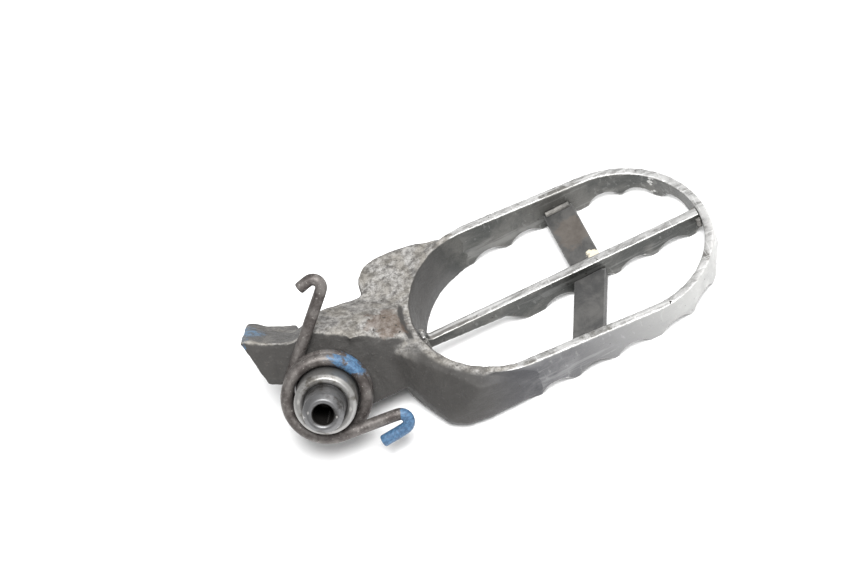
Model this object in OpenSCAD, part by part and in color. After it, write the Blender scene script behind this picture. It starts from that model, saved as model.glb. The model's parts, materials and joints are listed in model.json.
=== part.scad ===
// Folding off-road foot peg: a toothed oval platform on a forged neck that swings on a slanted pivot pin.
// The peg lies upside-down, teeth on the floor. The origin is the middle of the pin's free end.
// +X runs along the tooth rows to the tip. Modules measure from the pivot centre, and placed() moves them.

/* [Platform] */
// Distance from the pivot centre to the root arc's centre
root_x = 46.6; // [42:0.2:56]
// Length between the centres of the root arc and the tip arc
slot_len = 31.8; // [26:0.2:38]
// Radius of the opening's two ends
opening_r = 21.5; // [18:0.5:26]
// Thickness of the toothed band
band_t = 2.4; // [1.8:0.1:3.2]
// Height of the band above the tooth tips at its root end
band_root_h = 16.8; // [14:0.1:20]
// Height of the band above the tooth tips at its tip end
band_tip_h = 7.3; // [6:0.1:9]

/* [Teeth] */
// Distance between two teeth on the straight sides
tooth_pitch = 10.4; // [8.5:0.1:12.5]
// Depth of the hollow between two teeth
tooth_depth = 2.6; // [1.6:0.1:3.2]
// Width of the land left on each tooth
tooth_land = 2; // [1.2:0.1:3]
// Number of teeth around the tip arc
arc_teeth = 6; // [4:1:7]

/* [Centre bar and straps] */
// Thickness of the centre bar
bar_t = 2.5; // [2:0.1:4]
// Height of the bar's plain edge above the tooth tips, at the root
bar_root_h = 10.3; // [9:0.1:13]
// Height of the bar's plain edge above the tooth tips, at the tip
bar_tip_h = 7; // [6:0.1:9]
// Height of the toothless part of the bar above the tooth tips, at the root
bar_rise = 7.4; // [5:0.1:8.5]
// Width of the two cross straps
strap_w = 8; // [6:0.5:10]
// Thickness of the cross straps
strap_t = 2.6; // [2:0.1:3.5]
// Height of the straps' upper face above the tooth tips
strap_h = 5.2; // [4.8:0.1:6]
// Distance from the pivot centre to the middle of the far strap
strap_x = 70; // [60:0.1:80]
// Slant of the near strap, towards the root
strap_slant = 25; // [0:1:30]

/* [Pivot] */
// Lean of the pivot axis above the platform's plane
pin_lean = 39.5; // [35:0.5:45]
// Sweep of the pivot axis towards the root
pin_sweep = 8; // [4:0.5:12]
// Diameter of the pivot pin's free end
pin_d = 10; // [8:0.1:12]
// How much thicker the pin is inside the tube
journal_step = 0.6; // [0.2:0.1:1]
// Length of pin that stands out of the spring spigot
pin_out = 7.3; // [5:0.1:9]
// Gap between the pin's journal and its bore, on the radius
pin_gap = 0.06; // [0.02:0.01:0.1]
// Diameter of the tapped hole in the pin's end
tap_d = 5; // [4:0.1:5.5]
// Depth of the tapped hole
tap_len = 14; // [10:1:18]
// Diameter of the spring spigot
spigot_d = 15.2; // [14:0.1:16.5]
// Length of the spring spigot
spigot_len = 13.9; // [13:0.1:16]
// Diameter of the pivot tube inside the eye
tube_d = 13.4; // [13:0.1:14]
// Diameter of the forged eye
eye_d = 17; // [16.6:0.2:19]
// Distance from the pivot centre to the eye's spring face
eye_front = 4; // [3:0.1:5]
// Distance from the pivot centre to the eye's other face
eye_back = 7.6; // [6.5:0.1:9]

/* [Neck and stop lug] */
// Height of the neck's ridge above the pivot axis, over the eye
ridge_h = 15; // [13:0.5:16.5]
// Height of the neck's ridge above the pivot axis, at the platform
ridge_end_h = 8; // [6:0.5:9]
// Height of the stop lug above the pivot axis
lug_h = 19.6; // [17:0.1:22]
// Distance from the pivot axis to the stop lug's flat
lug_x = 14.8; // [12:0.2:16]
// Thickness of the stop lug along the pivot axis
lug_t = 16; // [10:0.5:17]
// Radius of the shoulders' round corners
shoulder_r = 8; // [6:0.5:10]
// Overhang of the shoulders outside the band
shoulder_out = 1.6; // [0.8:0.1:3]
// Distance from the pivot centre to the shoulders' inner edge
shoulder_x = 16.4; // [14:0.2:18]

/* [Return spring] */
// Diameter of the spring wire
wire_d = 3; // [2.5:0.1:3.4]
// Gap between the coil and the spigot, on the radius
coil_gap = 0.6; // [0.4:0.1:1.2]
// Gap between one turn and the next
turn_gap = 0.16; // [0.05:0.01:0.4]
// Length of the leg that bears on the peg
peg_leg = 23.5; // [18:0.5:28]
// Length of the leg that bears on the bracket
bracket_leg = 14; // [10:0.5:18]
// Bend radius of the two hooks
hook_r = 2; // [1.8:0.1:3]

/* [Welds] */
// Radius of the weld beads
bead_r = 1.2; // [0.8:0.1:2.2]

/* [Hidden] */
$fn = 72;
// Unit vector of the pivot axis, towards the spring end
axis_x = -sin(pin_sweep);
axis_y = -cos(pin_sweep) * cos(pin_lean);
axis_z = cos(pin_sweep) * sin(pin_lean);
// The eye's lower rim rests on the same plane as the tooth tips
floor_z = -(eye_back * axis_z + eye_d / 2 * sqrt(1 - axis_z * axis_z));
tip_x = root_x + slot_len;
band_r = opening_r + band_t;
mid_r = opening_r + band_t / 2;
// Slope of the band's plain edge, and of the bar's
edge_slope = atan((band_root_h - band_tip_h) / (slot_len + 2 * band_r));
bar_slope = atan((bar_root_h - bar_tip_h) / (slot_len + 2 * opening_r));
// Hollow between two teeth, as a circle's arc
hollow_w = (tooth_pitch - tooth_land) / 2;
hollow_r = (hollow_w * hollow_w + tooth_depth * tooth_depth) / (2 * tooth_depth);
hollow_z = floor_z + tooth_depth - hollow_r;
// The last straight tooth stands a quarter of a pitch short of the tip arc
last_tooth = tip_x - tooth_pitch / 4;
side_teeth = floor((last_tooth - root_x + opening_r / 2) / tooth_pitch);
first_arc = 90 - tooth_pitch * 0.75 / mid_r * 180 / PI;
arc_step = 2 * first_arc / (arc_teeth - 1);
bar_teeth_x = root_x + 5.5;
journal_d = pin_d + journal_step;
bore_r = journal_d / 2 + pin_gap;
// Bevels at the spigot's mouth: one in the bore, and one on the journal's shoulder
mouth = 0.5;
spring_gap = 0.4;
coil_r = spigot_d / 2 + coil_gap + wire_d / 2;
coil_pitch = wire_d + turn_gap;
coil_turns = 2 + 135 / 360;
coil_s = eye_front + spring_gap + wire_d / 2;
pin_s = eye_front + spigot_len + pin_out;
// Distance from the pivot centre to the middle of the pin's free end
datum_s = eye_front + spigot_len + (pin_out - 1.4) / 2;

// Moves the pivot centre so that the middle of the pin's free end is the origin
module placed() {
    translate([-datum_s * axis_x, -datum_s * axis_y, -datum_s * axis_z])
        children();
}

// Turns +Z onto the pivot axis, with the spring end up
module on_axis(s = 0) {
    rotate([90 - pin_lean, 0, 0])
        rotate([0, -pin_sweep, 0])
            translate([0, 0, s])
                children();
}

// Everything above a plane that falls towards the tip
module above(h, slope, x0) {
    translate([x0, 0, floor_z + h])
        rotate([0, slope, 0])
            translate([-150, -100, 0])
                cube([400, 200, 80]);
}

module slot2d(r) {
    translate([root_x, 0]) circle(r);
    translate([tip_x, 0]) circle(r);
    translate([root_x, -r]) square([slot_len, 2 * r]);
}

module slot_block(r, h) {
    translate([0, 0, floor_z])
        linear_extrude(h)
            slot2d(r);
}

module side_hollow(x, w) {
    translate([x, w, hollow_z])
        rotate([90, 0, 0])
            cylinder(r = hollow_r, h = 2 * w);
}

module arc_hollow(angle) {
    translate([tip_x, 0, hollow_z])
        rotate([0, 0, angle])
            rotate([0, 90, 0])
                translate([0, 0, opening_r / 2])
                    cylinder(r = hollow_r, h = opening_r);
}

module rim_band() {
    color([0.50, 0.49, 0.47]) placed()
        difference() {
            slot_block(band_r, 30);
            translate([0, 0, -1]) slot_block(opening_r, 40);
            above(band_root_h, edge_slope, root_x - band_r);
            for (i = [0 : side_teeth - 1])
                side_hollow(last_tooth - (i + 0.5) * tooth_pitch, 40);
            for (side = [-1, 1])
                arc_hollow(side * (first_arc + 90) / 2);
            for (i = [0 : arc_teeth - 2])
                arc_hollow(-first_arc + (i + 0.5) * arc_step);
        }
}

// Profile of the centre bar, seen from the side
module bar_profile() {
    x0 = root_x - opening_r - 1;
    x1 = tip_x + opening_r + 1;
    difference() {
        polygon([
            [x0, floor_z + bar_rise],
            [bar_teeth_x - tooth_land / 2 - 5, floor_z + bar_rise - 2.6],
            [bar_teeth_x - tooth_land / 2 - 2.6, floor_z + 2.4],
            [bar_teeth_x - tooth_land / 2, floor_z],
            [x1, floor_z],
            [x1, floor_z + bar_tip_h],
            [x0, floor_z + bar_root_h]]);
        for (i = [-2 : 5])
            translate([last_tooth - (i - 0.5) * tooth_pitch, hollow_z])
                if (last_tooth - (i - 0.5) * tooth_pitch > bar_teeth_x)
                    circle(hollow_r);
    }
}

module centre_tread_bar() {
    color([0.46, 0.45, 0.43]) placed()
        intersection() {
            union() {
                translate([0, bar_t / 2, 0])
                    rotate([90, 0, 0])
                        linear_extrude(bar_t)
                            bar_profile();
                bar_gusset();
            }
            slot_block(opening_r, 30);
        }
}

// The bar sweeps up into the root wall
module bar_gusset() {
    g = (band_root_h - bar_root_h) * 0.36;
    x0 = root_x - opening_r;
    difference() {
        translate([x0 - 1, -bar_t / 2, floor_z + bar_root_h - 1.2])
            cube([g + 2, bar_t, g + 1]);
        translate([x0 + g + 1, bar_t, floor_z + bar_root_h + g - 0.4])
            rotate([90, 0, 0])
                cylinder(r = g, h = 2 * bar_t);
        above(band_root_h - 0.6, edge_slope, x0);
    }
}

// A strap's blank, from the bar outwards
module strap_blank(side) {
    intersection() {
        translate([strap_x, 0, floor_z + strap_h - strap_t])
            rotate([0, 0, side < 0 ? -strap_slant : 0])
                translate([-strap_w / 2, side < 0 ? -2 * opening_r : 0, 0])
                    cube([strap_w, 2 * opening_r, strap_t]);
        translate([0, side < 0 ? -100 - bar_t / 2 : bar_t / 2, floor_z])
            cube([200, 100, 30]);
        slot_block(opening_r, 30);
    }
}

module cross_strap_far() {
    color([0.33, 0.35, 0.38]) placed() strap_blank(1);
}

module cross_strap_near() {
    color([0.33, 0.35, 0.38]) placed() strap_blank(-1);
}

// Outline of the neck in the plane of the spring face: the ridge, the flush lower edge and the eye
module neck_profile() {
    reach = root_x - opening_r + 4;
    circle(eye_d / 2);
    polygon([
        [-lug_x / 2, 0],
        [-lug_x / 2 + 1, ridge_h * 0.7],
        [-2.8, ridge_h - 0.6],
        [1.2, ridge_h],
        [8, ridge_h - 1.6],
        [18, ridge_end_h],
        [reach, ridge_end_h - 5],
        [reach, -eye_d / 2],
        [0, -eye_d / 2]]);
}

// The far shoulder and the root wall, in plan
module far_plan() {
    w = band_r + shoulder_out;
    x0 = shoulder_x + shoulder_r;
    difference() {
        union() {
            translate([x0, w - shoulder_r]) circle(shoulder_r);
            translate([x0, 0]) square([8, w]);
            translate([shoulder_x, 0]) square([shoulder_r, w - shoulder_r]);
            polygon([[x0 + 8, 0], [x0 + 8, w], [root_x - 4, band_r + 0.6],
                [root_x + 6, band_r - 0.2], [root_x, 0]]);
        }
        slot2d(band_r);
    }
}

// The near shoulder, in plan: its corner is a wide slant that fades into the band
module near_plan() {
    w = band_r + shoulder_out / 3;
    difference() {
        polygon([
            [shoulder_x, 0],
            [shoulder_x, -band_r / 3],
            [shoulder_x + 2.6, -band_r * 0.62],
            [shoulder_x + 5.4, -band_r * 0.86],
            [shoulder_x + 9, -w + 1],
            [shoulder_x + 15, -w],
            [root_x - 4, -w],
            [root_x + 6, -band_r + 0.2],
            [root_x, 0]]);
        slot2d(band_r);
    }
}

// The near shoulder leans in towards its upper edge
module near_shoulder() {
    intersection() {
        translate([0, 0, floor_z + 1.6])
            linear_extrude(20)
                near_plan();
        translate([shoulder_x + 3.6, -band_r * 0.8, floor_z + 4])
            rotate([0, 0, 40])
                rotate([0, 30, 0])
                    translate([0, -80, -80])
                        cube([80, 160, 160]);
    }
}

// Deck between the ridge and the far shoulder
module deck() {
    intersection() {
        translate([0, 0, floor_z + 9])
            linear_extrude(20)
                difference() {
                    polygon([[-2, 6], [3, 13.2], [7, 14.8], [12, 15.4], [24, 16.4],
                        [26, 0], [19, 0], [8, 1]]);
                    slot2d(band_r);
                }
        translate([8.4, 2.8, ridge_h * 0.772 + 1.5])
            rotate([-20, 0, 0])
                rotate([0, 18, 0])
                    translate([-60, -60, -60])
                        cube([120, 120, 60]);
    }
}

// Outline of the stop lug, in the same plane
module lug_profile() {
    polygon([
        [-lug_x, lug_h],
        [-lug_x + 1.2, lug_h + 0.4],
        [-lug_x + 3, lug_h - 0.6],
        [-lug_x + 5, lug_h - 2.2],
        [-6, ridge_h + 0.6],
        [-2.8, ridge_h - 0.6],
        [-2.8, 4],
        [-6, 4],
        [-lug_x + 4.4, 5.6],
        [-lug_x + 1.8, 6.9]]);
}

module neck_forging() {
    color([0.36, 0.35, 0.33]) placed()
        difference() {
            union() {
                on_axis(-eye_back)
                    linear_extrude(eye_back + eye_front)
                        neck_profile();
                on_axis(eye_front - lug_t)
                    linear_extrude(lug_t)
                        lug_profile();
                difference() {
                    union() {
                        translate([0, 0, floor_z + 2.4])
                            linear_extrude(24)
                                far_plan();
                        near_shoulder();
                    }
                    above(band_root_h, edge_slope, root_x - band_r);
                }
                deck();
            }
            slot_block(band_r, 40);
            above(band_root_h + 1, edge_slope + 12, shoulder_x + shoulder_r);
            on_axis(-30) cylinder(d = tube_d, h = 60);
            on_axis(eye_front) cylinder(d = 2 * coil_r + wire_d + 1, h = 30);
            on_axis(eye_front) translate([-20, 4, 0]) cube([30, 40, 20]);
        }
}

module pivot_tube() {
    color([0.62, 0.60, 0.57]) placed()
        on_axis()
            difference() {
                union() {
                    translate([0, 0, -eye_back])
                        cylinder(d = tube_d, h = eye_back + eye_front);
                    translate([0, 0, eye_front])
                        cylinder(d = spigot_d, h = spigot_len - 0.8);
                    translate([0, 0, eye_front + spigot_len - 0.8])
                        cylinder(d1 = spigot_d, d2 = spigot_d - 1.6, h = 0.8);
                }
                translate([0, 0, -eye_back - 1])
                    cylinder(r = bore_r, h = eye_back + eye_front + spigot_len + 2);
                translate([0, 0, eye_front + spigot_len - mouth])
                    cylinder(r1 = bore_r, r2 = bore_r + mouth, h = mouth + 0.001);
            }
}

module pivot_pin() {
    color([0.52, 0.51, 0.50]) placed()
        on_axis()
            difference() {
                union() {
                    translate([0, 0, -eye_back + 0.2])
                        cylinder(d1 = journal_d - 2, d2 = journal_d, h = 1);
                    translate([0, 0, -eye_back + 1.2])
                        cylinder(d = journal_d, h = eye_back - 1.2 + eye_front + spigot_len - mouth);
                    translate([0, 0, eye_front + spigot_len - mouth])
                        cylinder(d1 = journal_d, d2 = pin_d, h = mouth);
                    translate([0, 0, eye_front + spigot_len])
                        cylinder(d = pin_d, h = pin_out - 1.4);
                    translate([0, 0, pin_s - 1.4])
                        cylinder(d1 = pin_d, d2 = pin_d - 2.4, h = 1.4);
                }
                translate([0, 0, pin_s - tap_len])
                    cylinder(d = tap_d, h = tap_len + 1);
                translate([0, 0, pin_s - 0.6])
                    cylinder(d1 = tap_d, d2 = tap_d + 1.2, h = 0.61);
            }
}

function dir(a) = [cos(a), sin(a), 0];

// A hook's centre line: from point p, heading h, turning by t degrees, then straight on for l
function hook(p, h, t, r, l) = let (s = sign(t), c = p + r * dir(h + 90 * s)) concat(
    [for (i = [1 : 6]) c + r * dir(h - 90 * s + t * i / 6)],
    [c + r * dir(h - 90 * s + t) + l * dir(h + t)]);

// The spring's centre line in the pivot's own frame, from the peg's leg to the bracket's leg
function spring_path() = let (
        a0 = 135,
        n = 60,
        start = coil_r * dir(a0) + [0, 0, coil_s],
        top = start + peg_leg * dir(a0 - 90),
        upper = hook(top, a0 - 90, 150, hook_r, 3),
        end = coil_r * dir(270) + [0, 0, coil_s + coil_turns * coil_pitch],
        out = end + bracket_leg * dir(-4),
        lower = hook(out, -4, -170, hook_r, 6.5))
    concat(
        [for (i = [len(upper) - 1 : -1 : 0]) upper[i]],
        [top],
        [for (i = [0 : n]) let (t = i / n)
            coil_r * dir(a0 + 360 * coil_turns * t) + [0, 0, coil_s + coil_turns * coil_pitch * t]],
        [out],
        lower);

function unit(v) = v / norm(v);

// A round wire swept along the points of a path that stays nearly square to +Z
module wire(path, d, sides = 12) {
    n = len(path);
    rings = [for (i = [0 : n - 1]) let (
            t = unit(path[min(i + 1, n - 1)] - path[max(i - 1, 0)]),
            u = unit(cross(t, [0, 0, 1])),
            v = cross(u, t))
        for (k = [0 : sides - 1]) path[i] + d / 2 * (cos(360 * k / sides) * u + sin(360 * k / sides) * v)];
    faces = concat(
        [[for (k = [0 : sides - 1]) k]],
        [for (i = [0 : n - 2]) for (k = [0 : sides - 1])
            let (a = i * sides + k, b = i * sides + (k + 1) % sides)
            [a, a + sides, b + sides, b]],
        [[for (k = [sides - 1 : -1 : 0]) (n - 1) * sides + k]]);
    polyhedron(rings, faces, convexity = 6);
}

module return_spring() {
    color([0.36, 0.33, 0.31]) placed()
        on_axis()
            wire(spring_path(), wire_d);
}

module weld_bar_root() {
    color([0.42, 0.41, 0.39]) placed()
        difference() {
            intersection() {
                for (side = [-1, 1])
                    translate([root_x - opening_r + 0.2, side * bar_t / 2, floor_z + bar_rise])
                        cylinder(r = bead_r, h = bar_root_h - bar_rise + 1.5);
                slot_block(opening_r, 30);
            }
            translate([0, -bar_t / 2, -50]) cube([200, bar_t, 100]);
        }
}

module weld_bar_tip() {
    color([0.42, 0.41, 0.39]) placed()
        difference() {
            intersection() {
                for (side = [-1, 1])
                    translate([tip_x + opening_r - 0.2, side * bar_t / 2, floor_z + 3.2])
                        cylinder(r = bead_r, h = 3);
                slot_block(opening_r, 30);
            }
            translate([0, -bar_t / 2, -50]) cube([200, bar_t, 100]);
        }
}

// Bead in the corner between a strap's upper face and the band
module strap_end_bead(side) {
    shift = side < 0 ? -tan(strap_slant) * opening_r : 0;
    color([0.42, 0.41, 0.39]) placed()
        intersection() {
            translate([strap_x + shift - strap_w / 2 + 0.6, side * opening_r, floor_z + strap_h])
                rotate([0, 90, 0])
                    cylinder(r = bead_r, h = strap_w - 1.2);
            translate([0, -opening_r, floor_z + strap_h])
                cube([200, 2 * opening_r, 10]);
        }
}

module weld_strap_far() {
    strap_end_bead(1);
}

module weld_strap_near() {
    strap_end_bead(-1);
}

module weld_strap_centre() {
    color([0.42, 0.41, 0.39]) placed()
        difference() {
            translate([strap_x - strap_w / 2 + 0.8, bar_t / 2, floor_z + strap_h])
                rotate([0, 90, 0])
                    cylinder(r = bead_r - 0.2, h = strap_w - 1.6);
            translate([0, -50 + bar_t / 2, -50]) cube([200, 50, 100]);
            translate([0, 0, floor_z - 50 + strap_h]) translate([0, -20, 0]) cube([200, 40, 50]);
        }
}

neck_forging();
rim_band();
centre_tread_bar();
cross_strap_far();
cross_strap_near();
pivot_tube();
pivot_pin();
return_spring();
weld_bar_root();
weld_bar_tip();
weld_strap_far();
weld_strap_near();
weld_strap_centre();
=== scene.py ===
# Folding foot peg, lying teeth down on a pale floor. Metres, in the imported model's frame.
import json
import math

import bmesh
import bpy
from mathutils import Matrix, Vector


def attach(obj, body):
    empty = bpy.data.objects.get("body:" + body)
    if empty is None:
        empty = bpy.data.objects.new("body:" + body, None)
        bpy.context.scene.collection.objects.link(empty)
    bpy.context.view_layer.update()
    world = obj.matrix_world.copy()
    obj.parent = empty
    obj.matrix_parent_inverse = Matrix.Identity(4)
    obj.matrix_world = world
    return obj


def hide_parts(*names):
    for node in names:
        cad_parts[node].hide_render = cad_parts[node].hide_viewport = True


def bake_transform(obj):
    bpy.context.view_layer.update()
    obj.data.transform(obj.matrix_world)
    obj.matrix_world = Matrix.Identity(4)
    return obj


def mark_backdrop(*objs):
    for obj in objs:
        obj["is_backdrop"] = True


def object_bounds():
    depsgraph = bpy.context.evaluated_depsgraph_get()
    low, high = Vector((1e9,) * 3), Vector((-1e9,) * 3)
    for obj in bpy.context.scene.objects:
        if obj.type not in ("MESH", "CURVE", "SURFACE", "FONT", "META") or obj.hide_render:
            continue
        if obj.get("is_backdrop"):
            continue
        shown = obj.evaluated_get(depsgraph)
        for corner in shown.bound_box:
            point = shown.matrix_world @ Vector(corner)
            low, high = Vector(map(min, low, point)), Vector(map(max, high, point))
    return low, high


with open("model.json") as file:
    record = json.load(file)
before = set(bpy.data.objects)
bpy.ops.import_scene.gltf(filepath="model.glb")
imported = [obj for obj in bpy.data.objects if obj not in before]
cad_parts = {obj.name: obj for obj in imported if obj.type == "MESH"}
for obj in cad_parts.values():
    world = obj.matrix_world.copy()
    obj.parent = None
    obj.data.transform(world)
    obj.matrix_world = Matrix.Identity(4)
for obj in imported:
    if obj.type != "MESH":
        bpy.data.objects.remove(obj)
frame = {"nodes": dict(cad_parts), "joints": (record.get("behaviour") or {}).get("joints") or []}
cad_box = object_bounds()
nodes = frame["nodes"]
MM = 0.001

# Pivot: its centre comes from the joint, its lean and sweep are the part's own
PIVOT = Vector(frame["joints"][0]["pos_m"])
PIN_LEAN, PIN_SWEEP = 39.5, 8.0
PIVOT_FRAME = (
    Matrix.Translation(PIVOT)
    @ Matrix.Rotation(math.radians(90 - PIN_LEAN), 4, "X")
    @ Matrix.Rotation(math.radians(-PIN_SWEEP), 4, "Y")
)

# Sizes of the pivot pieces, in millimetres along the pivot's axis from its centre
PIN_D, JOURNAL_D, PIN_GAP, TAP_D, TAP_LEN = 10.0, 10.6, 0.06, 5.0, 14.0
EYE_FRONT, EYE_BACK, TUBE_D = 4.0, 7.6, 13.4
SPIGOT_D, SPIGOT_END, MOUTH = 15.2, 17.9, 0.5
PIN_END = 25.2
THREAD_PITCH, THREAD_DEPTH = 0.8, 0.3

# Return spring, in millimetres
WIRE_D, COIL_R, COIL_START, COIL_PITCH, COIL_TURNS = 3.0, 9.7, 5.9, 3.16, 2.375
PEG_LEG, BRACKET_LEG, HOOK_R = 23.5, 14.0, 2.0
# Where the coil starts and ends, the bracket leg's heading, and each hook's turn, in degrees
COIL_FROM, COIL_TO, BRACKET_HEADING = 135.0, 270.0, -4
PEG_HOOK_TURN, BRACKET_HOOK_TURN = 150, -170
PEG_HOOK_END, BRACKET_HOOK_END = 3.0, 6.5

# Platform, in millimetres from the pivot's centre
ROOT_X, TIP_X, WALL_MID_R = 46.6, 78.4, 22.7
# The forging and the band run into each other between these two distances
MERGE_FROM, MERGE_TO = 36.0, 53.0
# Grit texture value that leaves a surface where it is; lower values cut into it
GRIT_LEVEL = 0.8

# Camera
CAM_AZIMUTH, CAM_ELEVATION, CAM_ROLL = 0.5, 52.5, -27.1
CAM_DISTANCE = 0.65
CAM_TARGET = Vector((0.0355, 0.0309, -0.0159))
CAM_LENS = 108.8


# ---------------------------------------------------------------- shader helpers
class Shader:
    """A material's node tree, with short calls for the nodes it needs."""

    def __init__(self, name):
        self.mat = bpy.data.materials.new(name)
        self.mat.use_nodes = True
        self.tree = self.mat.node_tree
        self.bsdf = self.tree.nodes["Principled BSDF"]
        coord = self.add("ShaderNodeTexCoord")
        self.co, self.normal = coord.outputs["Object"], coord.outputs["Normal"]

    def add(self, kind, **props):
        n = self.tree.nodes.new(kind)
        for k, v in props.items():
            setattr(n, k, v)
        return n

    def put(self, socket, value):
        if isinstance(value, bpy.types.NodeSocket):
            self.tree.links.new(value, socket)
        else:
            socket.default_value = value

    def math(self, op, a, b=0.0, c=0.0):
        n = self.add("ShaderNodeMath", operation=op)
        for socket, value in zip(n.inputs, (a, b, c)):
            self.put(socket, value)
        return n.outputs[0]

    def noise(self, scale, detail=4.0, rough=0.6, co=None, distort=0.0):
        n = self.add("ShaderNodeTexNoise")
        self.put(n.inputs["Vector"], co or self.co)
        n.inputs["Scale"].default_value = scale
        n.inputs["Detail"].default_value = detail
        n.inputs["Roughness"].default_value = rough
        n.inputs["Distortion"].default_value = distort
        return n.outputs["Fac"]

    def stretched(self, scale):
        n = self.add("ShaderNodeMapping")
        self.put(n.inputs["Vector"], self.co)
        n.inputs["Scale"].default_value = scale
        return n.outputs[0]

    def step(self, value, low, high):
        """0 below low, 1 above high, smooth between."""
        n = self.add("ShaderNodeMapRange", interpolation_type="SMOOTHSTEP")
        self.put(n.inputs["Value"], value)
        n.inputs["From Min"].default_value = low
        n.inputs["From Max"].default_value = high
        return n.outputs[0]

    def mix(self, fac, a, b):
        n = self.add("ShaderNodeMix", data_type="RGBA")
        self.put(n.inputs["Factor"], fac)
        self.put(n.inputs[6], (*a, 1) if isinstance(a, tuple) else a)
        self.put(n.inputs[7], (*b, 1) if isinstance(b, tuple) else b)
        return n.outputs[2]

    def axes(self, vector):
        n = self.add("ShaderNodeSeparateXYZ")
        self.put(n.inputs[0], vector)
        return n.outputs

    def near(self, point, radius, ragged=0.35):
        """1 inside a ragged ball round a point, 0 outside it."""
        d = self.add("ShaderNodeVectorMath", operation="DISTANCE")
        self.put(d.inputs[0], self.co)
        d.inputs[1].default_value = point
        grain = self.noise(1 / radius, 5)
        wobble = self.math("MULTIPLY_ADD", grain, -2 * ragged * radius, ragged * radius)
        return self.step(self.math("ADD", d.outputs["Value"], wobble), radius, radius * 0.7)

    def edges(self, low=0.508, high=0.56):
        return self.step(self.add("ShaderNodeNewGeometry").outputs["Pointiness"], low, high)

    def finish(self, colour, rough, metal, height, bump=0.3, depth=0.0003):
        self.put(self.bsdf.inputs["Base Color"], colour)
        self.put(self.bsdf.inputs["Roughness"], rough)
        self.put(self.bsdf.inputs["Metallic"], metal)
        n = self.add("ShaderNodeBump")
        n.inputs["Strength"].default_value = bump
        n.inputs["Distance"].default_value = depth
        self.put(n.inputs["Height"], height)
        self.put(self.bsdf.inputs["Normal"], n.outputs[0])
        return self.mat


def pivot_point(x, y, z):
    """A point given in millimetres from the pivot's centre along the row's axes."""
    return PIVOT + Vector((x, y, z)) * MM


# ---------------------------------------------------------------- materials
def pits(s, scale=900, amount=0.62):
    return s.step(s.noise(scale, 3, 0.5), amount, amount + 0.06)


def scratches(s):
    """Fine rubbed lines in two directions."""
    one = s.noise(260, 3, 0.7, s.stretched((0.12, 3.0, 1.0)))
    two = s.noise(300, 3, 0.7, s.stretched((2.6, 0.2, 1.0)))
    return s.math("MAXIMUM", s.step(one, 0.56, 0.64), s.step(two, 0.6, 0.66))


def worn_paint():
    s = Shader("worn_paint")
    up = s.axes(s.normal)[2]
    patches = s.noise(110, 8, 0.7, distort=0.6)
    fine = s.noise(900, 6, 0.75)
    dark = s.mix(patches, (0.022, 0.021, 0.020), (0.066, 0.062, 0.058))
    dark = s.mix(s.step(fine, 0.58, 0.7), dark, (0.11, 0.105, 0.10))
    grain = s.noise(620, 7, 0.8)
    pale = s.mix(s.step(grain, 0.38, 0.62), (0.10, 0.095, 0.09), (0.40, 0.39, 0.375))
    tan = s.mix(s.step(grain, 0.35, 0.65), (0.11, 0.102, 0.09), (0.29, 0.275, 0.25))
    pale = s.mix(s.step(patches, 0.42, 0.6), pale, tan)
    # Pale where faces point up, in patches: partly paint worn through to metal, partly painted light
    # on the tops
    worn = s.step(s.math("ADD", up, s.math("MULTIPLY", patches, 0.7)), 1.06, 1.3)
    # The pale tops stay off the near shoulder, which keeps its dark paint, but for a rubbed lip round
    # the opening
    x, y, z = s.axes(s.co)
    lip = s.step(band_radius(s)[0], (WALL_MID_R + 1.9) * MM, (WALL_MID_R + 0.2) * MM)
    ragged_y = s.math("ADD", y, s.math("MULTIPLY", patches, 0.008))
    far = s.step(ragged_y, PIVOT.y - 0.006, PIVOT.y + 0.003)
    worn = s.math("MULTIPLY", worn, s.math("MAXIMUM", lip, far))
    low = s.step(z, PIVOT.z - 0.004, cad_box[0].z + 0.001)
    tipwards = s.step(x, PIVOT.x + 0.024, PIVOT.x + 0.046)
    side = s.math("MULTIPLY", low, tipwards)
    dark = s.mix(s.math("MULTIPLY", side, 0.8), dark, (0.13, 0.13, 0.135))
    dark = s.mix(s.math("MULTIPLY", tipwards, 0.3), dark, (0.08, 0.08, 0.082))
    fade = s.step(x, PIVOT.x + 0.031, PIVOT.x + 0.046)
    dark = s.mix(fade, dark, band_sides(s, band_patches(s)))
    colour = s.mix(worn, dark, pale)
    rust = s.near(pivot_point(19.5, 3.0, 9.0), 0.0055, 1.4)
    colour = s.mix(s.math("MULTIPLY", rust, 0.5), colour, (0.10, 0.062, 0.042))
    colour = s.mix(pits(s, 900, 0.67), colour, (0.05, 0.045, 0.04))
    rubbed = s.math("MULTIPLY", s.edges(0.555, 0.64), s.step(patches, 0.35, 0.55))
    rubbed = s.math("MULTIPLY", rubbed, s.step(x, PIVOT.x - 0.002, PIVOT.x + 0.006))
    colour = s.mix(rubbed, colour, (0.27, 0.26, 0.25))
    blue = s.near(PIVOT_FRAME @ (Vector((-15.5, 19.5, -2.0)) * MM), 0.006, 1.2)
    blue = s.math("MULTIPLY", blue, s.step(grain, 0.4, 0.56))
    colour = s.mix(blue, colour, (0.055, 0.12, 0.20))
    metal = s.math("MULTIPLY", s.math("MAXIMUM", worn, rubbed), 0.45)
    metal = s.math("MAXIMUM", metal, s.math("MULTIPLY", fade, 0.35))
    rough = s.math("MULTIPLY_ADD", fine, 0.35, 0.38)
    height = s.math("ADD", s.math("MULTIPLY", fine, 0.7), s.math("MULTIPLY", patches, 1.2))
    s.bsdf.inputs["Specular IOR Level"].default_value = 0.3
    return s.finish(colour, rough, metal, height, 0.7, 0.0005)


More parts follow.
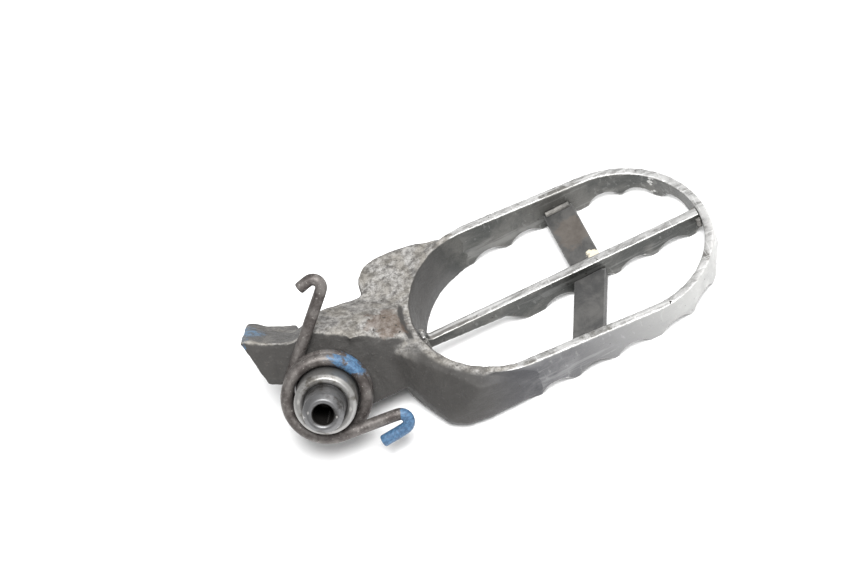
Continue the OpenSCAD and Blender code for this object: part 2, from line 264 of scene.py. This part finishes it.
def band_radius(s):
    """Distance from the opening's middle line, and distance from the pivot's centre along +X."""
    x, y, _ = s.axes(s.co)
    x = s.math("SUBTRACT", x, PIVOT.x)
    along = s.math("SUBTRACT", x, s.math("MINIMUM", s.math("MAXIMUM", x, ROOT_X * MM), TIP_X * MM))
    y = s.math("SUBTRACT", y, PIVOT.y)
    r2 = s.math("ADD", s.math("MULTIPLY", along, along), s.math("MULTIPLY", y, y))
    return s.math("SQRT", r2), x


def band_patches(s):
    return s.noise(90, 8, 0.65, distort=0.4)


def band_sides(s, patches):
    """The band's colour on its outer and inner sides; the forging fades into it."""
    r, x = band_radius(s)
    inside = s.step(r, (WALL_MID_R + 0.4) * MM, (WALL_MID_R - 0.4) * MM)
    outer = s.mix(s.step(x, 0.045, 0.105), (0.06, 0.06, 0.065), (0.42, 0.42, 0.41))
    outer = s.mix(s.math("MULTIPLY", s.step(patches, 0.42, 0.66), 0.45), outer, (0.22, 0.22, 0.225))
    inner = s.mix(s.step(patches, 0.36, 0.62), (0.03, 0.032, 0.029), (0.105, 0.103, 0.095))
    return s.mix(inside, outer, inner)


def worn_steel():
    s = Shader("worn_steel")
    nz = s.axes(s.normal)[2]
    x = band_radius(s)[1]
    patches = band_patches(s)
    fine = s.noise(1100, 5, 0.7)
    colour = band_sides(s, patches)
    top = s.step(nz, 0.62, 0.93)
    streak = s.noise(420, 6, 0.8, s.stretched((0.35, 1.0, 1.0)))
    bright = s.mix(s.step(streak, 0.36, 0.56), (0.22, 0.217, 0.21), (0.50, 0.497, 0.49))
    bright = s.mix(s.step(patches, 0.52, 0.62), bright, (0.15, 0.145, 0.135))
    bright = s.mix(s.step(x, 0.048, 0.022), bright, (0.16, 0.15, 0.14))
    colour = s.mix(top, colour, bright)
    rubbed = s.edges(0.508, 0.56)
    colour = s.mix(s.math("MULTIPLY", rubbed, 0.75), colour, (0.56, 0.555, 0.54))
    marks = s.math("MULTIPLY", scratches(s), s.math("MULTIPLY_ADD", top, 0.6, 0.1))
    colour = s.mix(marks, colour, (0.66, 0.66, 0.65))
    holes = pits(s, 640, 0.68)
    colour = s.mix(holes, colour, (0.04, 0.038, 0.035))
    metal = s.math("MULTIPLY_ADD", s.math("MAXIMUM", top, rubbed), 0.4, 0.35)
    rough = s.math("MULTIPLY_ADD", patches, 0.35, 0.25)
    height = s.math("SUBTRACT", s.math("ADD", fine, patches), s.math("MULTIPLY", holes, 1.5))
    return s.finish(colour, rough, metal, height, 0.4, 0.0003)


def dark_steel():
    s = Shader("dark_steel")
    patches = s.noise(140, 7, 0.7, distort=0.4)
    fine = s.noise(1000, 4, 0.7)
    colour = s.mix(s.step(patches, 0.35, 0.65), (0.036, 0.036, 0.036), (0.078, 0.076, 0.073))
    brown = s.near(pivot_point(70.0, 13.0, -6.0), 0.005, 1.3)
    colour = s.mix(s.math("MULTIPLY", brown, 0.35), colour, (0.12, 0.095, 0.075))
    cream = s.near(pivot_point(72.6, 2.9, -6.0), 0.0022, 1.2)
    colour = s.mix(cream, colour, (0.58, 0.53, 0.42))
    rubbed = s.edges(0.515, 0.58)
    colour = s.mix(s.math("MULTIPLY", rubbed, 0.6), colour, (0.36, 0.36, 0.355))
    rough = s.math("MULTIPLY_ADD", fine, 0.3, 0.38)
    s.bsdf.inputs["Specular IOR Level"].default_value = 0.3
    metal = s.math("MULTIPLY", rubbed, 0.6)
    return s.finish(colour, rough, metal, s.math("ADD", fine, patches), 0.35)


def turned_steel(name, dark, light, dirt, rough0):
    """Lathe marks run round the pivot's axis; the faces inside the bore are painted near black as
    painted shade.
    """
    s = Shader(name)
    axial = s.add("ShaderNodeAttribute", attribute_name="axial").outputs["Fac"]
    line = s.add("ShaderNodeCombineXYZ")
    s.put(line.inputs[0], axial)
    rings = s.noise(7000, 2, 0.8, line.outputs[0])
    patches = s.noise(210, 6, 0.7)
    colour = s.mix(rings, dark, light)
    colour = s.mix(s.step(patches, 0.5, 0.66), colour, dirt)
    # Painted shade: the faces inside the bore are darkened to near black.
    depth = s.add("ShaderNodeAttribute", attribute_name="inside").outputs["Fac"]
    colour = s.mix(depth, colour, (0.03, 0.028, 0.026))
    rubbed = s.edges(0.52, 0.6)
    colour = s.mix(s.math("MULTIPLY", rubbed, 0.7), colour, (0.52, 0.51, 0.49))
    rough = s.math("MULTIPLY_ADD", patches, 0.35, rough0)
    return s.finish(colour, rough, 0.85, s.math("ADD", rings, patches), 0.25, 0.0001)


def spring_steel():
    s = Shader("spring_steel")
    patches = s.noise(260, 6, 0.7)
    fine = s.noise(1500, 4, 0.7)
    colour = s.mix(s.step(patches, 0.35, 0.65), (0.055, 0.046, 0.043), (0.15, 0.138, 0.13))
    colour = s.mix(s.step(fine, 0.6, 0.7), colour, (0.34, 0.32, 0.30))
    paint = s.add("ShaderNodeAttribute", attribute_name="painted").outputs["Fac"]
    ragged = s.math("MULTIPLY", s.math("SUBTRACT", patches, 0.5), 1.6)
    paint = s.step(s.math("ADD", paint, ragged), 0.45, 0.6)
    blue = s.mix(s.step(fine, 0.35, 0.65), (0.028, 0.066, 0.13), (0.065, 0.145, 0.25))
    colour = s.mix(paint, colour, blue)
    metal = s.math("MULTIPLY_ADD", paint, -0.5, 0.55)
    rough = s.math("MULTIPLY_ADD", fine, 0.3, 0.36)
    return s.finish(colour, rough, metal, s.math("ADD", fine, patches), 0.4, 0.0002)


def weld_metal():
    s = Shader("weld_metal")
    patches = s.noise(200, 7, 0.7)
    fine = s.noise(1300, 4, 0.7)
    colour = s.mix(s.step(patches, 0.35, 0.65), (0.075, 0.072, 0.068), (0.23, 0.22, 0.205))
    colour = s.mix(s.math("MULTIPLY", s.edges(0.515, 0.58), 0.6), colour, (0.4, 0.39, 0.37))
    rough = s.math("MULTIPLY_ADD", fine, 0.3, 0.4)
    return s.finish(colour, rough, 0.4, s.math("ADD", fine, patches), 0.6, 0.0004)


def pale_floor():
    s = Shader("pale_floor")
    s.bsdf.inputs["Base Color"].default_value = (0.93, 0.93, 0.93, 1)
    s.bsdf.inputs["Roughness"].default_value = 0.6
    return s.mat


# ---------------------------------------------------------------- pieces
def dress(node, material, voxel, smooth, unevenness):
    """A CAD node with its edges worn round, its faces slightly uneven, and its material."""
    o = nodes[node]
    weld = o.modifiers.new("weld", "WELD")
    weld.merge_threshold = 2e-6
    remesh = o.modifiers.new("remesh", "REMESH")
    remesh.mode = "VOXEL"
    remesh.voxel_size = voxel * MM
    remesh.use_smooth_shade = True
    wear(o, smooth)
    grit(o, unevenness)
    o.data.materials.clear()
    o.data.materials.append(material)
    return o


def grit(o, amount):
    texture = bpy.data.textures.new(o.name + "_grit", "CLOUDS")
    texture.noise_scale, texture.noise_depth = 0.004, 3
    uneven = o.modifiers.new("uneven", "DISPLACE")
    uneven.texture, uneven.strength, uneven.mid_level = texture, amount * MM, GRIT_LEVEL


def solid_copy(name, sources, voxel, material):
    """A new object whose mesh is the union of closed source meshes, on an even grid of faces."""
    joined = bmesh.new()
    for mesh in sources:
        joined.from_mesh(mesh)
    bmesh.ops.remove_doubles(joined, verts=joined.verts, dist=2e-6)
    rough = bpy.data.meshes.new(name + "_rough")
    joined.to_mesh(rough)
    joined.free()
    o = bpy.data.objects.new(name, rough)
    bpy.context.scene.collection.objects.link(o)
    remesh = o.modifiers.new("remesh", "REMESH")
    remesh.mode, remesh.voxel_size = "VOXEL", voxel * MM
    even = bpy.data.meshes.new_from_object(o.evaluated_get(bpy.context.evaluated_depsgraph_get()))
    o.modifiers.clear()
    o.data = even
    bpy.data.meshes.remove(rough)
    even.name = name
    for p in even.polygons:
        p.use_smooth = True
    even.materials.clear()
    even.materials.append(material)
    return o


def band_end(distance):
    """The band's root end, cut off square at a distance from the pivot's centre, and closed."""
    part = bmesh.new()
    part.from_mesh(nodes["rim_band"].data)
    bmesh.ops.remove_doubles(part, verts=part.verts, dist=2e-6)
    geometry = part.verts[:] + part.edges[:] + part.faces[:]
    at = pivot_point(distance, 0, 0)
    bmesh.ops.bisect_plane(part, geom=geometry, plane_co=at, plane_no=(1, 0, 0), clear_outer=True)
    bmesh.ops.holes_fill(part, edges=[e for e in part.edges if e.is_boundary])
    mesh = bpy.data.meshes.new("band_end")
    part.to_mesh(mesh)
    part.free()
    return mesh


def sink(o, amount):
    """Moves each vertex inwards by amount(x), in millimetres; x runs along the peg from the pivot."""
    bpy.context.view_layer.update()
    normals = [v.normal.copy() for v in o.data.vertices]
    for v, n in zip(o.data.vertices, normals):
        v.co -= n * amount((v.co.x - PIVOT.x) / MM) * MM


def smoothstep(v, low, high):
    t = max(0.0, min(1.0, (v - low) / (high - low)))
    return t * t * (3 - 2 * t)


def wear(o, iterations, group=""):
    soft = o.modifiers.new("wear" + group, "SMOOTH")
    soft.factor, soft.iterations, soft.vertex_group = 0.5, iterations, group


def neck(material):
    """The forging, with the band's root end joined on.

    It goes under the band's surface where the two part.
    """
    o = solid_copy("forged_neck", [nodes["neck_forging"].data, band_end(MERGE_TO)], 0.42, material)
    group = o.vertex_groups.new(name="shoulders")
    pivot_x = PIVOT.x
    for v in o.data.vertices:
        x, y = (v.co.x - pivot_x) / MM, (v.co.y - PIVOT.y) / MM
        inner = smoothstep(math.hypot(x - ROOT_X, y), WALL_MID_R - 1.6, WALL_MID_R + 2.5)
        near = smoothstep(x, 13, 18) * inner * (1.0 if y < 3 else 0.45)
        group.add([v.index], near, "REPLACE")
    sink(o, lambda x: 0.5 * smoothstep(x, MERGE_FROM + 6, MERGE_TO))
    wear(o, 12)
    wear(o, 55, "shoulders")
    grit(o, 0.45)
    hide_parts("neck_forging")
    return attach(o, "peg")


def band(material):
    o = solid_copy("toothed_band", [nodes["rim_band"].data], 0.28, material)
    sink(o, lambda x: 0.45 * smoothstep(x, MERGE_TO - 4, MERGE_FROM))
    wear(o, 12)
    grit(o, 0.15)
    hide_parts("rim_band")
    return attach(o, "peg")


def add_mesh(name, verts, faces, material):
    mesh = bpy.data.meshes.new(name)
    mesh.from_pydata(verts, [], faces)
    mesh.validate()
    for p in mesh.polygons:
        p.use_smooth = True
    mesh.materials.append(material)
    o = bpy.data.objects.new(name, mesh)
    bpy.context.scene.collection.objects.link(o)
    return o


def vertex_values(o, name, values):
    a = o.data.attributes.new(name, "FLOAT", "POINT")
    a.data.foreach_set("value", values)


def rounded(corners, r, n=4):
    """Corner points (radius, along) with each corner cut round by r, closed into a ring."""
    out = []
    for i, c in enumerate(corners):
        c = Vector(c)
        a, b = Vector(corners[i - 1]), Vector(corners[(i + 1) % len(corners)])
        cut = min(r, (a - c).length * 0.45, (b - c).length * 0.45)
        p, q = c + (a - c).normalized() * cut, c + (b - c).normalized() * cut
        for k in range(n + 1):
            t = k / n
            out.append((1 - t) ** 2 * p + 2 * t * (1 - t) * c + t * t * q)
    return out


def lathe(name, corners, material, round_r, bore_r, sides=96):
    """A ring profile spun round the pivot's axis."""
    ring = []
    base = rounded(corners, round_r)
    for i, p in enumerate(base):
        q = base[(i + 1) % len(base)]
        parts = max(1, int((q - p).length / 0.8))
        ring += [p.lerp(q, k / parts) for k in range(parts)]
    n = len(ring)
    verts, faces = [], []
    for k in range(sides):
        a = 2 * math.pi * k / sides
        for p in ring:
            verts.append(PIVOT_FRAME @ (Vector((p.x * math.cos(a), p.x * math.sin(a), p.y)) * MM))
        for i in range(n):
            j, nxt = (i + 1) % n, (k + 1) % sides
            faces.append((k * n + i, nxt * n + i, nxt * n + j, k * n + j))
    o = add_mesh(name, verts, faces, material)
    vertex_values(o, "axial", [p.y * MM for p in ring] * sides)
    # 1 on the faces inside the bore, which the turned steel darkens as painted shade
    vertex_values(o, "inside", [1.0 if p.x < bore_r else 0.0 for p in ring] * sides)
    return o


def pivot_pin(material):
    tap, body, journal = TAP_D / 2, PIN_D / 2, JOURNAL_D / 2
    foot, floor = -EYE_BACK + 0.2, PIN_END - TAP_LEN
    corners = [(0.01, foot), (journal - 1, foot), (journal, foot + 1)]
    corners += [(journal, SPIGOT_END - MOUTH), (body, SPIGOT_END), (body, PIN_END - 1.4)]
    corners += [(body - 1.2, PIN_END), (tap + 0.6, PIN_END), (tap, PIN_END - 0.6)]
    z = PIN_END - 1.2
    while z > floor + 2 * THREAD_PITCH:
        corners += [(tap, z), (tap + THREAD_DEPTH, z - THREAD_PITCH / 2)]
        z -= THREAD_PITCH
    corners += [(tap, floor + 1), (tap, floor + 0.8), (0.01, floor)]
    o = lathe("threaded_pin", corners, material, 0.35, tap + THREAD_DEPTH + 0.01)
    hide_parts("pivot_pin")
    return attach(o, "pin")


def pivot_tube(material):
    bore, tube, spigot = JOURNAL_D / 2 + PIN_GAP, TUBE_D / 2, SPIGOT_D / 2
    corners = [(bore, -EYE_BACK), (tube, -EYE_BACK), (tube, EYE_FRONT), (spigot, EYE_FRONT)]
    corners += [(spigot, SPIGOT_END - 0.8), (spigot - 0.8, SPIGOT_END), (bore + MOUTH, SPIGOT_END)]
    corners += [(bore, SPIGOT_END - MOUTH)]
    o = lathe("spigot_tube", corners, material, 0.3, bore + 0.01)
    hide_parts("pivot_tube")
    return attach(o, "peg")


def heading(degrees):
    return Vector((math.cos(math.radians(degrees)), math.sin(math.radians(degrees)), 0))


def hook(p, h, turn, r, straight, n=12):
    """Centre line of a hook from p, heading h, turning by turn degrees, then going straight."""
    side = 1 if turn > 0 else -1
    c = p + r * heading(h + 90 * side)
    pts = [c + r * heading(h - 90 * side + turn * i / n) for i in range(1, n + 1)]
    end = pts[-1]
    return pts + [end + heading(h + turn) * straight * k / 4 for k in range(1, 5)]


def spring_line():
    """Centre line from the peg leg's hook to the bracket leg's hook, in the pivot's frame."""
    up = Vector((0, 0, 1))
    rise = COIL_TURNS * COIL_PITCH
    start = COIL_R * heading(COIL_FROM) + up * COIL_START
    top = start + PEG_LEG * heading(COIL_FROM - 90)
    end = COIL_R * heading(COIL_TO) + up * (COIL_START + rise)
    out = end + BRACKET_LEG * heading(BRACKET_HEADING)
    n = 170
    coil = [
        COIL_R * heading(COIL_FROM + 360 * COIL_TURNS * i / n) + up * (COIL_START + rise * i / n)
        for i in range(n + 1)
    ]
    upper = hook(top, COIL_FROM - 90, PEG_HOOK_TURN, HOOK_R, PEG_HOOK_END)[::-1]
    leg1 = [top.lerp(start, k / 14) for k in range(14)]
    leg2 = [end.lerp(out, k / 10) for k in range(1, 11)]
    lower = hook(out, BRACKET_HEADING, BRACKET_HOOK_TURN, HOOK_R, BRACKET_HOOK_END)
    return upper + leg1 + coil + leg2 + lower, len(upper) + len(leg1), n


def softened(pts, rounds=2):
    for _ in range(rounds):
        inner = [(a + 2 * b + c) / 4 for a, b, c in zip(pts, pts[1:], pts[2:])]
        pts = [pts[0]] + inner + [pts[-1]]
    return pts


def return_spring(material, sides=20):
    line, first, turns = spring_line()
    line = softened(line)
    r = WIRE_D / 2
    verts, faces, painted = [], [], []
    ends = [(0.02, 0.0), (0.6, 0.03), (0.9, 0.15), (1.0, 0.4)]
    rings = [(line[0], line[1] - line[0], s, -1, back) for s, back in ends]
    rings += [(line[i], line[i + 1] - line[i - 1], 1.0, i, 0.0) for i in range(1, len(line) - 1)]
    rings += [(line[-1], line[-1] - line[-2], s, len(line), -back) for s, back in reversed(ends)]
    for centre, along, size, i, back in rings:
        t = along.normalized()
        u = t.cross(Vector((0, 0, 1))).normalized()
        v = u.cross(t)
        centre = centre + t * back
        for k in range(sides):
            a = 2 * math.pi * k / sides
            off = (u * math.cos(a) + v * math.sin(a)) * r * size
            verts.append(PIVOT_FRAME @ ((centre + off) * MM))
            # Blue paint: the bracket hook, and the side of the coil that faces up and along the peg
            hooked = 1.0 if i > first + turns + 11 else 0.0
            side = (centre.x * 0.87 + centre.y * 0.5) / COIL_R
            coil = max(0.0, min(1.0, (side - 0.7) * 3)) if first < i < first + turns else 0.0
            painted.append(max(hooked, coil * 0.75))
    for k in range(len(rings) - 1):
        for j in range(sides):
            a, b = k * sides + j, k * sides + (j + 1) % sides
            faces.append((a, a + sides, b + sides, b))
    faces.append(tuple(range(sides))[::-1])
    faces.append(tuple(range((len(rings) - 1) * sides, len(rings) * sides)))
    o = add_mesh("coil_spring", verts, faces, material)
    vertex_values(o, "painted", painted)
    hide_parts("return_spring")
    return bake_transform(o)


# ---------------------------------------------------------------- stage
def floor():
    z = cad_box[0].z
    half = 1.6
    verts = [(x * half, y * half, z) for x, y in ((-1, -1), (1, -1), (1, 1), (-1, 1))]
    o = add_mesh("floor", verts, [(0, 1, 2, 3)], pale_floor())
    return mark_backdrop(o)


def area_light(name, azimuth, elevation, distance, size, power):
    a, e = math.radians(azimuth), math.radians(elevation)
    back = Vector((math.sin(a) * math.cos(e), -math.cos(a) * math.cos(e), math.sin(e)))
    data = bpy.data.lights.new(name, "AREA")
    data.shape, data.size, data.energy = "DISK", size, power
    o = bpy.data.objects.new(name, data)
    o.location = CAM_TARGET + back * distance
    o.rotation_mode = "QUATERNION"
    o.rotation_quaternion = (-back).to_track_quat("-Z", "Y")
    bpy.context.scene.collection.objects.link(o)


def studio():
    world = bpy.data.worlds.new("studio")
    world.use_nodes = True
    bg = world.node_tree.nodes["Background"]
    bg.inputs["Color"].default_value = (1.0, 1.0, 1.0, 1)
    bg.inputs["Strength"].default_value = 0.62
    bpy.context.scene.world = world
    area_light("key", 20, 70, 0.9, 0.5, 13)
    area_light("fill", 110, 40, 1.1, 0.7, 4)
    bpy.context.scene.view_settings.view_transform = "Standard"


def camera():
    a, e = math.radians(CAM_AZIMUTH), math.radians(CAM_ELEVATION)
    back = Vector((math.sin(a) * math.cos(e), -math.cos(a) * math.cos(e), math.sin(e)))
    data = bpy.data.cameras.new("camera")
    data.lens, data.sensor_width = CAM_LENS, 36
    data.clip_start, data.clip_end = 0.01, 20
    o = bpy.data.objects.new("camera", data)
    level = (-back).to_track_quat("-Z", "Y").to_matrix().to_4x4()
    turn = Matrix.Rotation(math.radians(CAM_ROLL), 4, "Z")
    o.matrix_world = Matrix.Translation(CAM_TARGET + back * CAM_DISTANCE) @ level @ turn
    bpy.context.scene.collection.objects.link(o)
    bpy.context.scene.camera = o


def build():
    steel, dark, weld = worn_steel(), dark_steel(), weld_metal()
    neck(worn_paint())
    band(steel)
    dress("centre_tread_bar", steel, 0.25, 3, 0.12)
    dress("cross_strap_far", dark, 0.25, 3, 0.1)
    dress("cross_strap_near", dark, 0.25, 3, 0.1)
    for name in sorted(nodes):
        if name.startswith("weld_"):
            dress(name, weld, 0.16, 5, 0.25)
    dark, light, dirt = (0.09, 0.09, 0.095), (0.20, 0.20, 0.20), (0.05, 0.046, 0.042)
    pivot_pin(turned_steel("pin_steel", dark, light, dirt, 0.28))
    dark, light, dirt = (0.22, 0.217, 0.21), (0.40, 0.395, 0.385), (0.12, 0.112, 0.10)
    pivot_tube(turned_steel("bare_steel", dark, light, dirt, 0.26))
    return_spring(spring_steel())


build()
floor()
studio()
camera()
